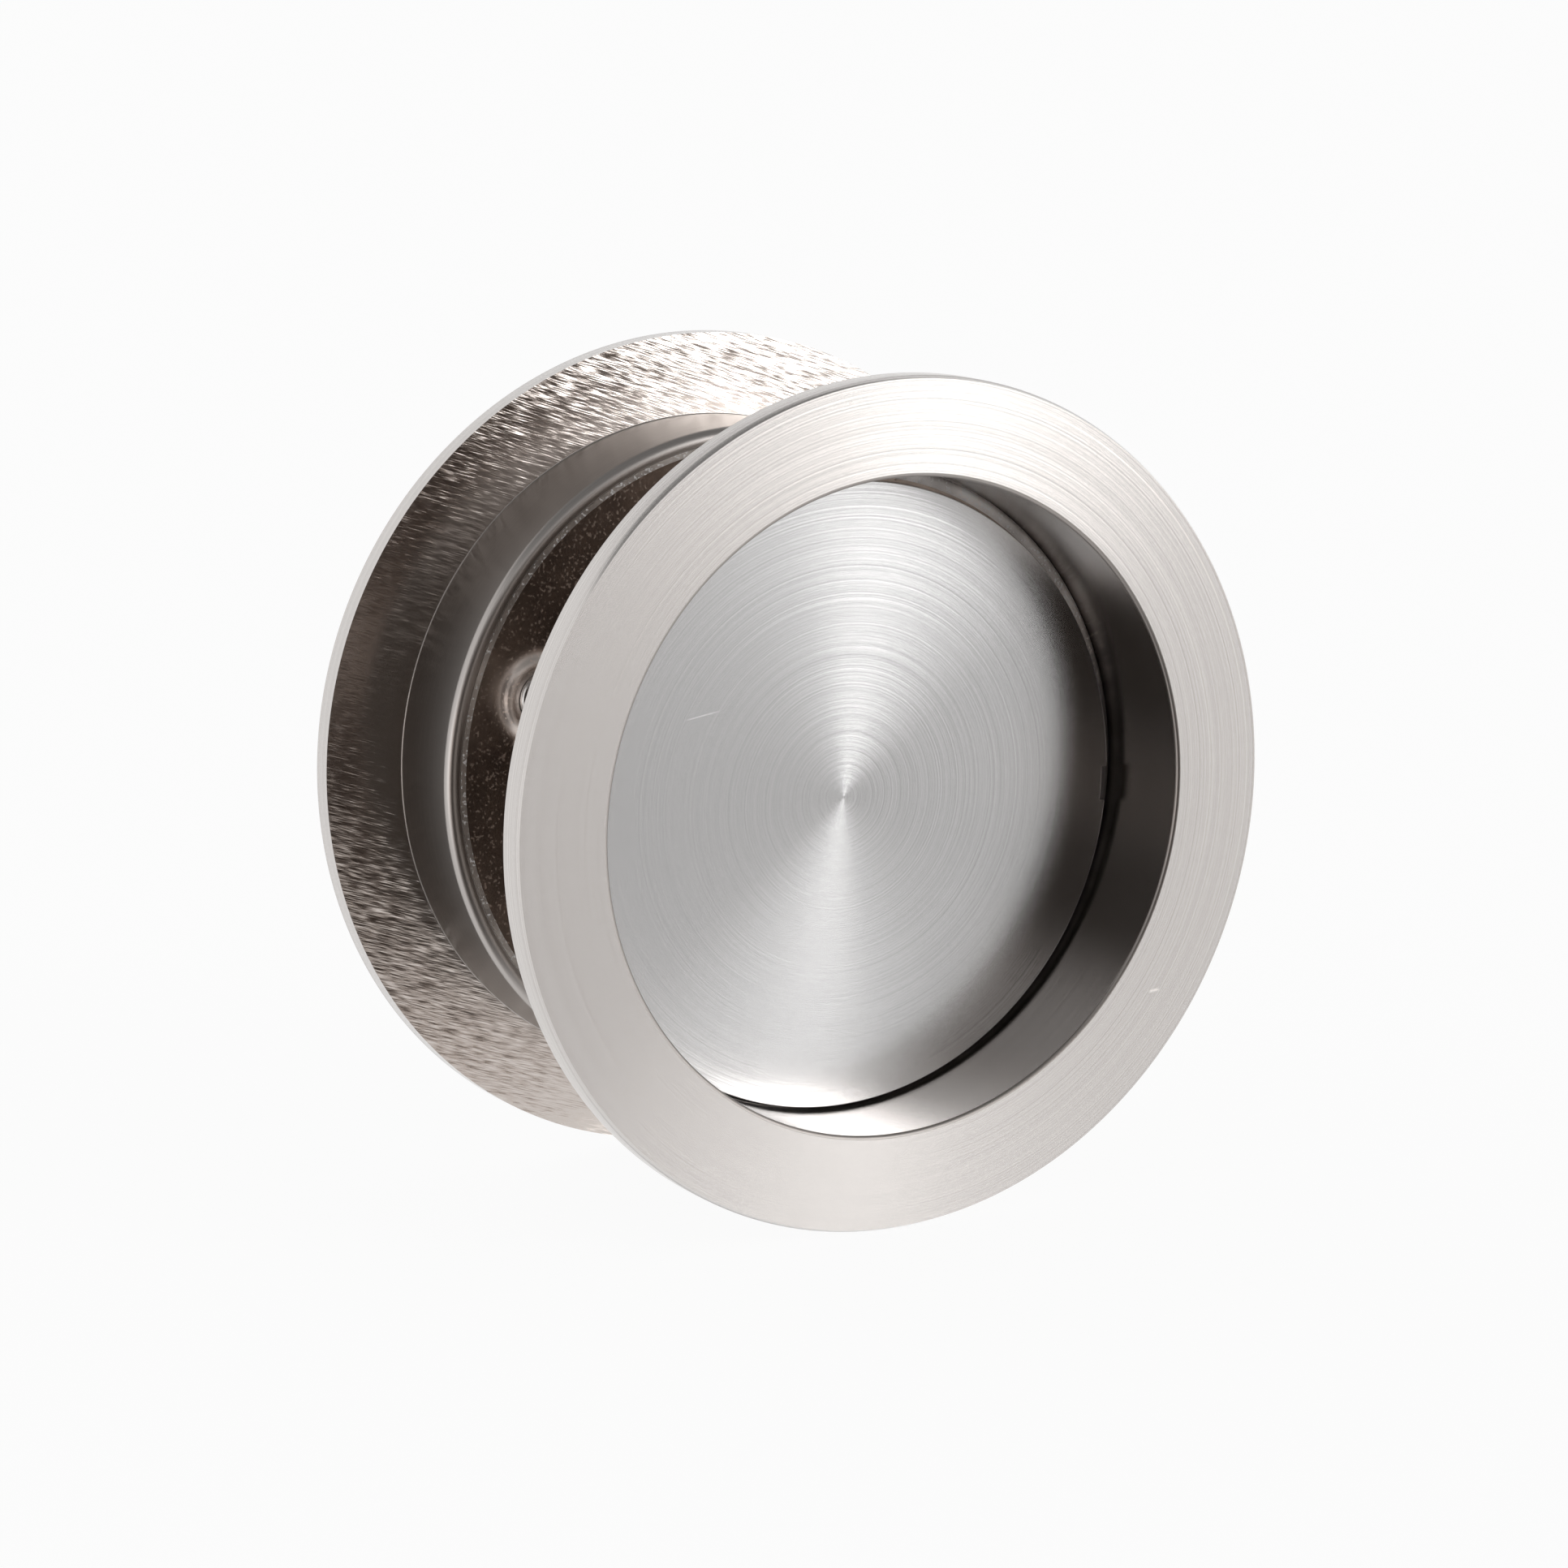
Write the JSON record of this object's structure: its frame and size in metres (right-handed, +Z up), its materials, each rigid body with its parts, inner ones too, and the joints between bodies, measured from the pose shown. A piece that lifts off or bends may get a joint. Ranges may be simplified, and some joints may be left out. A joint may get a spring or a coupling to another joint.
{
  "type": "recessed pull handle",
  "caption": "Double-sided round recessed pull for a sliding door: two flanged cups back to back, with plain cover discs over countersunk through screws.",
  "frame": {"origin": "on the common axis of both pulls, half way through the thickness of the door", "axes": "+Y along the axis from the front pull to the rear one, the front pull faces -Y, +Z up"},
  "size_m": [0.065, 0.0332, 0.065],
  "materials": {
    "turned_nickel": "satin nickel with fine turning marks, the back of the flange brushed in straight lines",
    "plated_sheet": "bright nickel plating with a rough cut edge",
    "brushed_disc": "spun satin steel with fine concentric marks",
    "sticky_pad": "matt",
    "screw_plating": "bright zinc plating",
    "sleeve_plating": "nickel plating"
  },
  "bodies": {
    "root": {"front_body": "turned_nickel", "rear_body": "turned_nickel", "front_fixing_plate": "plated_sheet", "rear_fixing_plate": "plated_sheet", "front_cover_disc": "brushed_disc", "rear_cover_disc": "brushed_disc", "front_cover_pad": "sticky_pad", "rear_cover_pad": "sticky_pad", "left_screw": "screw_plating", "right_screw": "screw_plating", "left_sleeve_nut": "sleeve_plating", "right_sleeve_nut": "sleeve_plating"}
  },
  "joints": []
}
